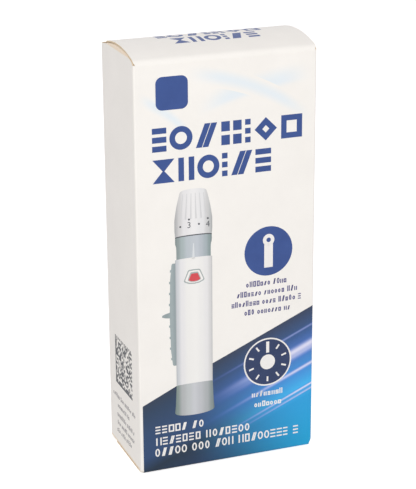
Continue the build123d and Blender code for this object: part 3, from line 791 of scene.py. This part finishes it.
field_blue, tree, place = placed_material("offset_ink_graded_blue")
turned = add(tree, "ShaderNodeMapping", {"Vector": place, "Rotation": (0, field_slant, 0)})
parts = add(tree, "ShaderNodeSeparateXYZ", {"Vector": turned.outputs[0]})
along, growing = (
    add(tree, "ShaderNodeMapRange", {
        "Value": parts.outputs["X"], "From Min": start * MM, "From Max": full * MM},
        interpolation_type="SMOOTHSTEP")
    for start, full in (wash_span, light_span))
below = add(tree, "ShaderNodeMapRange", {
    "Value": parts.outputs["Z"], "From Min": field_high * MM, "From Max": field_deep * MM})
dark_side, bright_side, bands = (
    add(tree, "ShaderNodeValToRGB", {"Fac": below.outputs[0]}, stops=stops)
    for stops in (hex_stops(dark_stops), hex_stops(bright_stops), grey_stops(band_strengths)))
bands.color_ramp.interpolation = "EASE"
wash = add(tree, "ShaderNodeMix", {
    "Factor": along.outputs[0], "A": dark_side.outputs["Color"], "B": bright_side.outputs["Color"]},
    data_type="RGBA")
strength = add(tree, "ShaderNodeMath", {0: bands.outputs["Color"], 1: growing.outputs[0]},
               operation="MULTIPLY")
glow = add(tree, "ShaderNodeValToRGB", {"Fac": strength.outputs[0]}, stops=hex_stops(glow_stops))
banded = add(tree, "ShaderNodeMix", {
    "Factor": strength.outputs[0], "A": wash.outputs[2], "B": glow.outputs["Color"]}, data_type="RGBA")
cloud = add(tree, "ShaderNodeTexNoise", {"Vector": place, "Scale": 1 / (face_patch * MM), "Detail": 2})
board_skin(tree, place, banded.outputs[2], cloud.outputs["Fac"], face_roughness, ink_relief)

# Its left edge, its corners at the left crease and further along, and where it stops: 70 degrees round the
# right crease, under the bottom bend, and a hair inside the lid's end.
field_left, field_under, field_gap = 0.8, -0.4, 0.01
field_edge_u, field_edge_z = (field_left, 12.8, 25.6, 61.9), (24.6, 30.2, 36.4, 51.9)
crease_start = print_middle + flat_half
crease_end = crease_start + crease * np.radians(70)
field_u = np.unique(np.concatenate([np.linspace(field_left, crease_start, 40), field_edge_u[1:3],
                                    np.linspace(crease_start, crease_end, 10)]))[:, None]
field_top = np.interp(field_u, field_edge_u, field_edge_z)
field_low = side_low(crease * (1 - np.cos(np.clip(field_u - crease_start, 0, None) / crease)))
field_rows = np.linspace(0, 1, 48)[None, :] ** 2
field_grids = [np.stack([field_u + 0 * field_rows, field_low + (field_top - field_low) * field_rows], -1)]
bend_share, bend_z = np.linspace(0, 1, 24)[:, None], np.linspace(field_under, front_low, 14)[None, :]
bend_depth = bottom_bend * (1 - np.cos((front_low - bend_z) / bottom_bend))
bend_end = print_middle + bottom_front_half(bend_depth) - field_gap
field_grids.append(np.stack([
    field_left + (bend_end - field_left) * bend_share, bend_z + 0 * bend_share], -1))
blue_field = solid_object("print_blue_field", [(on_front(p, film), on_front(p, -sunk)) for p in field_grids],
                          (field_blue,))
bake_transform(blue_field)

# Dial sign: a white ring with ten ticks round a plain knob, the top one longer, on a dark round ground, with
# rows of small shapes under it. On a real carton its white is board left free of ink; here it is a film.
ring_centre, tick_count = np.array([45.5, 33.8]), 10
printed("print_dial_ground", [disc(ring_centre, 8.6)], deep_ink, layer=2)
dial = [disc(ring_centre, 8.7, 0.5), disc(ring_centre, 2.7)]
for number in range(tick_count):
    a = np.radians(90 - 360 / tick_count * number)
    way = np.array([np.cos(a), np.sin(a)])
    aside = np.array([-way[1], way[0]])
    grid = patch(5.3, 7.1, -0.3, 0.3) if number else patch(3.4, 7.4, -0.55, 0.55)
    dial.append(ring_centre + grid[..., :1] * way + grid[..., 1:] * aside)
printed("print_dial_ring", dial, white_ink, layer=3)
printed("print_white_rows",
        small_rows([(39.8, 51.8, 21.5, 23.5, 2), (40.7, 50.7, 17.7, 19.7, 4)], 1.45, 0.4)
        + small_rows([(5.1, 23.8, 13.8, 16.5, 6), (5.3, 41, 9.5, 12.3, 8), (4.9, 57.6, 5.4, 8.4, 9)],
                     2.35, 0.5, True), white_ink, layer=2)

# Pictured device: the front shows the pen that is inside, printed smaller than life.
# Each part is a film of graded ink, light along its middle and darker to its sides, as a turned shape looks.
pen_u = 19.2


def graded_material(name, stops, half):
    """Ink graded across the pictured pen: colours at shares of its width, from Object coordinates."""
    made, tree, place = placed_material(name)
    parts = add(tree, "ShaderNodeSeparateXYZ", {"Vector": place})
    share = add(tree, "ShaderNodeMapRange", {
        "Value": parts.outputs["X"], "From Min": (pen_u - print_middle - half) * MM,
        "From Max": (pen_u - print_middle + half) * MM})
    tone = add(tree, "ShaderNodeValToRGB", {"Fac": share.outputs[0]}, stops=hex_stops(stops))
    tone.color_ramp.interpolation = "EASE"
    cloud = add(tree, "ShaderNodeTexNoise", {"Vector": place, "Scale": 1 / (face_patch * MM), "Detail": 2})
    board_skin(tree, place, tone.outputs["Color"], cloud.outputs["Fac"], face_roughness, ink_relief)
    return made


body_ink = graded_material("offset_ink_pictured_shell", [
    (0, "B4B8BC"), (0.04, "CACED3"), (0.17, "E7E7E9"), (0.34, "EFEFED"), (0.55, "F1F1EF"), (0.7, "EDEDEC"),
    (0.84, "E8E8E9"), (0.96, "D4D4D5"), (1, "BEBFC1")], 6.4)
cap_ink = graded_material("offset_ink_pictured_cap", [
    (0, "A6A8AA"), (0.05, "BABBBD"), (0.12, "D0D0D1"), (0.26, "E5E5E7"), (0.5, "EDEDEE"), (0.74, "E5E6E8"),
    (0.88, "CDCECF"), (0.95, "BDC0C1"), (1, "A6A8AA")], 6.5)
grip_ink = graded_material("offset_ink_pictured_grip", [
    (0, "7E8C8D"), (0.07, "919D9E"), (0.18, "A8B6B8"), (0.34, "BBC4CB"), (0.5, "C2C9D0"), (0.6, "C2C9D1"),
    (0.7, "B8C0C8"), (0.83, "A8B4BA"), (0.94, "8E9EA0"), (1, "7C8A8C")], 6.3)
glint_ink = ink_material("offset_ink_pictured_glint", "DDE2E6", "D9DEE2")
foot_ink = graded_material("offset_ink_pictured_foot", [
    (0, "6E7F7E"), (0.07, "84938F"), (0.2, "B2B6B8"), (0.36, "C1C6C8"), (0.5, "CACDD2"), (0.64, "C0C3C8"),
    (0.8, "AFB4B7"), (0.93, "8A9696"), (1, "687678")], 7.1)
slider_ink = graded_material("offset_ink_pictured_slider", [
    (0, "93A1A4"), (0.06, "93A1A4"), (0.14, "A0ADB0"), (0.2, "93A0A4"), (1, "7E8C90")], 10.8)
flute_ink = ink_material("offset_ink_pictured_flute", "D6D7D9", "D2D3D5")
outline_ink = ink_material("offset_ink_outline_grey", "AAB4B4", "A4AEAE")
red_ink = ink_material("offset_ink_red", "D9525B", "D24851")


def turned_shape(z, half, low_sag=0.0, high_sag=0.0):
    """A turned part in side view: half widths at heights, its ends bowed down by the given amounts as an
    ellipse's rim."""
    share = np.linspace(-1, 1, 25)[:, None]
    z, half = np.asarray(z, float)[None, :], np.asarray(half, float)[None, :]
    up = (z - z.min()) / (z.max() - z.min())
    sag = (low_sag * (1 - up) + high_sag * up) * np.sqrt(1 - share ** 2)
    return np.stack([pen_u + share * half + 0 * z, z - sag + 0 * share], -1)


foot_z, cap_z = np.linspace(20.3, 30.2, 8), np.linspace(82, 97.2, 14)
foot_half = np.interp(foot_z, [20.3, 23, 30.2], [7.05, 6.75, 6.4])
grip_half = [5.95, 5.95, 5.95, 5.95, 6.0, 6.3, 6.35, 6.3]
cap_half = np.interp(cap_z, [82, 84, 88, 92, 95, 97.2], [6.3, 6.5, 6.5, 5.9, 5.2, 4.6])
printed("print_pen_cap", [turned_shape(cap_z, cap_half, -0.4, -1.0)], cap_ink)
printed("print_pen_body", [turned_shape(np.linspace(30.2, 74.5, 4), [6.4] * 4, -0.2, -0.3)],
        body_ink, layer=2)
printed("print_pen_grip", [turned_shape(np.linspace(74.5, 82, 8), grip_half, -0.3, -0.4)], grip_ink)
printed("print_pen_grip_glint", [
    wedge((pen_u - 0.15, pen_u + 0.15, 79.6), (pen_u - 0.55, pen_u + 0.35, 74.3))], glint_ink, layer=2)
printed("print_pen_foot", [turned_shape(foot_z, foot_half, 1.5, -0.2)], foot_ink, layer=3)
# The cap's flutes narrow and lean in towards its top.
flute_half, flute_tip, flute_lean = 0.28, 0.1, 0.8
flutes = [wedge((pen_u + a - flute_half, pen_u + a + flute_half, 88.0),
                (pen_u + flute_lean * a - flute_tip, pen_u + flute_lean * a + flute_tip, 96.6))
          for a in (-4.4, -2.7, -0.9, 0.9, 2.7, 4.4)]
printed("print_pen_cap_flutes", flutes, flute_ink, layer=2)
# The slider's left edge is a shallow hollow with ribs at an even pitch and a thumb nub halfway up.
slider_z, slider_right = np.linspace(37.6, 73.5, 180), 12.8
rib_middle, rib_pitch, rib_stand, rib_half = 55.5, 3.85, 0.35, 0.4
nub_z, nub_stand, nub_half = 55.6, 2.3, 0.95
slider_edge = np.interp(slider_z, [37.6, 38, 43, 55, 68, 73, 73.5],
                        [11.9, 11.6, 11.0, 10.7, 11.0, 11.5, 11.8])
from_rib = (slider_z - rib_middle + rib_pitch / 2) % rib_pitch - rib_pitch / 2
slider_edge -= rib_stand * (np.abs(from_rib) < rib_half)
slider_edge -= nub_stand * np.clip(1 - (np.abs(slider_z - nub_z) / nub_half) ** 4, 0, 1)
slider_grid = np.stack([np.column_stack([slider_edge, 0 * slider_z + slider_right]),
                        np.column_stack([slider_z, slider_z])], -1)
printed("print_pen_slider", [slider_grid], slider_ink)
# The window is a rounded trapezium, drawn four times, each smaller than the last and over it.
window_ways = np.array([[0.5, 1], [0, 1.04], [-0.5, 1], [-0.6, 0.9], [-0.95, -0.3], [-1, -0.5],
                        [-0.93, -0.66], [-0.5, -0.93], [0, -1], [0.5, -0.93], [0.93, -0.66], [1, -0.5],
                        [0.95, -0.3], [0.6, 0.9]])
for name, centre, half, line, ink, layer in (
        ("print_pen_window_frame", (19.3, 68.1), (3.6, 2.5), 3.6, outline_ink, 3),
        ("print_pen_window_pad", (19.3, 68.1), (3.15, 2.1), 3.1, white_ink, 4),
        ("print_pen_window_recess", (19.35, 68.0), (2.3, 1.7), 2.3, outline_ink, 5),
        ("print_pen_window_red", (19.4, 67.85), (1.95, 1.35), 1.9, red_ink, 6)):
    printed(name, [hoop(centre, half, line, window_ways)], ink, layer=layer)
dot_places = ((14.7, 85.7), (17.7, 87.9), (21.1, 86.0), (24.2, 87.6))
printed("print_pen_cap_line", [turned_shape([81.9, 82.25], [6.35, 6.35], -0.4, -0.4)], dark_ink, layer=2)
printed("print_pen_cap_dots", [disc(centre, 0.34) for centre in dot_places], dark_ink, layer=2)

# A numeral's height as a share of its font size, and how far apart points may lie and still be one.
numeral_share, merge_gap = 0.69, 1e-6


def numerals(name, places, tall, finish, surface, lift, body):
    """Dial numbers as one closed mesh: text outlines with a film's thickness, laid on a surface at their
    places."""
    whole = bmesh.new()
    for number, centre in places:
        curve = bpy.data.curves.new(name, "FONT")
        curve.body, curve.size, curve.extrude = number, tall / numeral_share, 0.5
        curve.align_x, curve.align_y, curve.resolution_u = "CENTER", "CENTER", 6
        letter = bpy.data.objects.new(name, curve)
        bpy.context.scene.collection.objects.link(letter)
        shaped = bpy.data.meshes.new_from_object(letter.evaluated_get(bpy.context.evaluated_depsgraph_get()))
        flat = np.empty(len(shaped.vertices) * 3)
        shaped.vertices.foreach_get("co", flat)
        flat = flat.reshape(-1, 3)
        outer, inner = (surface(flat[:, :2] + centre, level) for level in (lift, -sunk))
        shaped.vertices.foreach_set("co", (np.where(flat[:, 2:] > 0, outer, inner) * MM).ravel())
        whole.from_mesh(shaped)
        bpy.data.objects.remove(letter)
        bpy.data.meshes.remove(shaped)
    bmesh.ops.remove_doubles(whole, verts=whole.verts, dist=merge_gap)
    bmesh.ops.recalc_face_normals(whole, faces=whole.faces)
    mesh = bpy.data.meshes.new(name)
    whole.to_mesh(mesh)
    whole.free()
    mesh.materials.append(finish)
    made = bpy.data.objects.new(name, mesh)
    bpy.context.scene.collection.objects.link(made)
    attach(made, body)


numerals("print_pen_cap_numbers", [("3", (17.7, 85.9)), ("4", (24.2, 85.6))], 2.0, dark_ink, on_front,
         2 * film, "carton")

# Side print: a square grid of cells and five short rows in grey offset ink, low on the left panel.
# The cells are drawn from a seeded random grid, so they say nothing.


def on_left(places, lift):
    """Places on the left panel, across from its rear edge, to points."""
    s, z = places[..., 0], places[..., 1]
    y = half_depth - s
    stand = crown((y + flat_depth) / (2 * flat_depth), (z - foot) / (height - foot), side_crown)
    return np.stack([-half_width - stand - lift, y, z], -1)


cell_count, code_side, code_left, code_low = 22, 17.6, 7.4, 23.8
cells = np.random.default_rng(21).random((cell_count, cell_count)) < 0.48
cells[0], cells[:, 0] = True, True
cells[-1], cells[:, -1] = np.arange(cell_count) % 2 == 0, np.arange(cell_count) % 2 == 0
cell = code_side / cell_count
code = [patch(code_left + i * cell, code_left + (i + 1) * cell,
              code_low + j * cell, code_low + (j + 1) * cell) for i, j in np.argwhere(cells)]
printed("print_side_code", code, dark_ink, surface=on_left)
printed("print_side_rows", small_rows([
    (4, 28.3, 18.1, 19.7, 31), (8.5, 22, 14.8, 16.3, 32), (8, 26.3, 11.2, 12.9, 33), (8, 26, 8.2, 9.8, 34),
    (7.5, 24, 5.2, 6.8, 35)], 1.2, 0.3), grey_ink, surface=on_left)

# Lid print: the headline's shapes again, smaller, in navy offset ink across the bowed lid.
# They ride on the lid and follow its bow, read from the front.


def on_lid(places, lift):
    """Places on the bowed lid, across from its left edge and by depth behind the front, to points."""
    d = places[..., 1]
    root = np.sqrt(arch_radius ** 2 - (d - arch_depth) ** 2) / arch_radius
    slope = (d - arch_depth) / arch_radius
    reach = arch_radius + lift
    return np.stack([places[..., 0] - print_middle, arch_depth - half_depth + reach * slope,
                     arch_z + reach * root], -1)


lid_spans = (
    ((14.5, 17.9), (18.5, 24.0), (24.8, 29.8), (30.8, 35.8), (36.5, 37.9), (38.9, 44.2), (45.2, 50.5)),
    ((17.5, 22.9), (23.8, 27.9), (28.6, 34.2), (34.9, 36.4), (37.3, 42.2), (43.0, 46.9)))
printed("print_lid_headline", shape_row(headline_kinds[0], lid_spans[0], 18.5, 24, 1.35)
        + shape_row(headline_kinds[1], lid_spans[1], 10.5, 16.5, 1.35),
        navy_ink, body="top_lid", surface=on_lid, cell=0.8)

# The pen inside: moulded parts that keep their solids, in ABS and a matt grip grade.
# Their finishes are spark-eroded mould texture, finer than the render shows, with a faint flow unevenness.


def moulded_material(name, base, shade, roughness):
    """Moulded plastic: a base tone with soft unevenness, an even gloss and fine mould grain."""
    made, tree, place = placed_material(name)
    tone, _ = fibre_tone(tree, place, base, shade, 9)
    grain = add(tree, "ShaderNodeTexNoise", {"Vector": place, "Scale": 1 / (0.12 * MM), "Detail": 2})
    relief = add(tree, "ShaderNodeBump", {
        "Height": grain.outputs["Fac"], "Strength": 0.3, "Distance": 0.01 * MM})
    skin = add(tree, "ShaderNodeBsdfPrincipled", {
        "Base Color": tone, "Roughness": roughness, "Normal": relief.outputs[0], "IOR": 1.5})
    add(tree, "ShaderNodeOutputMaterial", {"Surface": skin.outputs[0]})
    return made


# Satin shells, a duller slider, a glossy red button, and milky natural acetal for the plunger.
white_abs = moulded_material("abs_white_satin", "EDEDEC", "E9E9E8", 0.32)
grey_abs = moulded_material("abs_pale_grey_satin", "B4BDC3", "AEB7BD", 0.4)
slider_abs = moulded_material("abs_grey_green_matt", "98A7AA", "92A1A4", 0.5)
red_abs = moulded_material("abs_red_gloss", "D2323E", "CB2B37", 0.25)
natural_pom = moulded_material("pom_natural", "E4E6E2", "DEE0DC", 0.4)
pad_ink = moulded_material("pad_print_ink_black", "3C3F44", "37393E", 0.5)
pen_finishes = {
    "pen_end_cap": grey_abs, "pen_front_shell": white_abs, "pen_rear_shell": white_abs,
    "pen_grip_collar": grey_abs, "pen_depth_cap": white_abs, "pen_slider": slider_abs,
    "pen_button_bezel": grey_abs, "pen_release_button": red_abs, "pen_plunger": natural_pom}
for name, finish in pen_finishes.items():
    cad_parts[name].material_slots[0].material = finish

# Cap scale: the depth cap's numbers 1 to 5 with a dot half a step before each, and the collar's index bar.
# Pad-printed: a thin black film on the turned surface, places given by length round the pen and height.
pen_y, pen_foot, barrel_radius = -0.36, 0.95, 8.4
collar_foot, collar_top, collar_dip = 72.8, 82.6, 0.55
turn = np.radians(33.0) * barrel_radius
scale_z, numeral_tall, numeral_film = 86.6, 2.6, 0.05
dot_radius, mark_film, mark_cell = 0.4, 0.02, 0.5


def round_pen(places, reach):
    """Places round the pen to points, at that distance from its axis: a length round it at the barrel's
    radius gives the angle from the front."""
    a = places[..., 0] / barrel_radius - np.pi / 2
    return np.stack([reach * np.cos(a), pen_y + reach * np.sin(a), places[..., 1]], -1)


def on_cap(places, lift):
    """Places on the cap's straight part to points."""
    return round_pen(places, barrel_radius + lift)


def on_collar(places, lift):
    """Places on the waisted collar to points: its radius dips by a parabola, the most halfway up."""
    low, high = pen_foot + collar_foot, pen_foot + collar_top
    dip = collar_dip * (1 - ((places[..., 1] - (low + high) / 2) / ((high - low) / 2)) ** 2)
    return round_pen(places, barrel_radius - dip + lift)


numerals("cap_numbers", [(str(n + 1), (turn * (2 * n - 4), scale_z)) for n in range(5)], numeral_tall,
         pad_ink, on_cap, numeral_film, "depth_cap")
marks = [disc((turn * (2 * n - 5), scale_z), dot_radius) for n in range(5)]
for name, places, surface, body, slot in (
        ("cap_half_marks", marks, on_cap, "depth_cap", "white_plastic"),
        ("collar_index", [patch(-0.3, 0.3, 80.9, 83.2)], on_collar, "carton", "grey_plastic")):
    made = solid_object(name, films(places, surface, mark_film, mark_cell), (pad_ink,))
    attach(made, body)

# Springs: cold-wound from drawn steel wire, set round the plunger inside the barrel.
# The wire is bright and fine along its length. The drive spring stands on the end cap's floor; on the real
# pen it shortens by the plunger's travel as it is drawn back, but here it only gets a mesh of its own.
spring_wire, tree, place = placed_material("spring_steel_drawn")
drawn = add(tree, "ShaderNodeTexNoise", {"Vector": place, "Scale": 1 / (0.2 * MM), "Detail": 2})
dullness = add(tree, "ShaderNodeMapRange", {"Value": drawn.outputs["Fac"], "To Min": 0.25, "To Max": 0.4})
skin = add(tree, "ShaderNodeBsdfPrincipled", {
    "Base Color": linear("C9C7C2"), "Metallic": 1.0, "Roughness": dullness.outputs[0]})
add(tree, "ShaderNodeOutputMaterial", {"Surface": skin.outputs[0]})
for name in ("pen_drive_spring", "pen_return_spring"):
    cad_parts[name].material_slots[0].material = spring_wire
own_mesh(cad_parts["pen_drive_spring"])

# Leaflet: one sheet of thin uncoated paper, folded to and fro into eight plies that stand behind the pen.
# The paper is matt and a little cream, with a soft fibre.
leaflet_paper = fibre_material("leaflet_paper_uncoated", "F1EFE8", "EBE9E2", 2.0, 0.8, 0.5)
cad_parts["instruction_leaflet"].material_slots[0].material = leaflet_paper
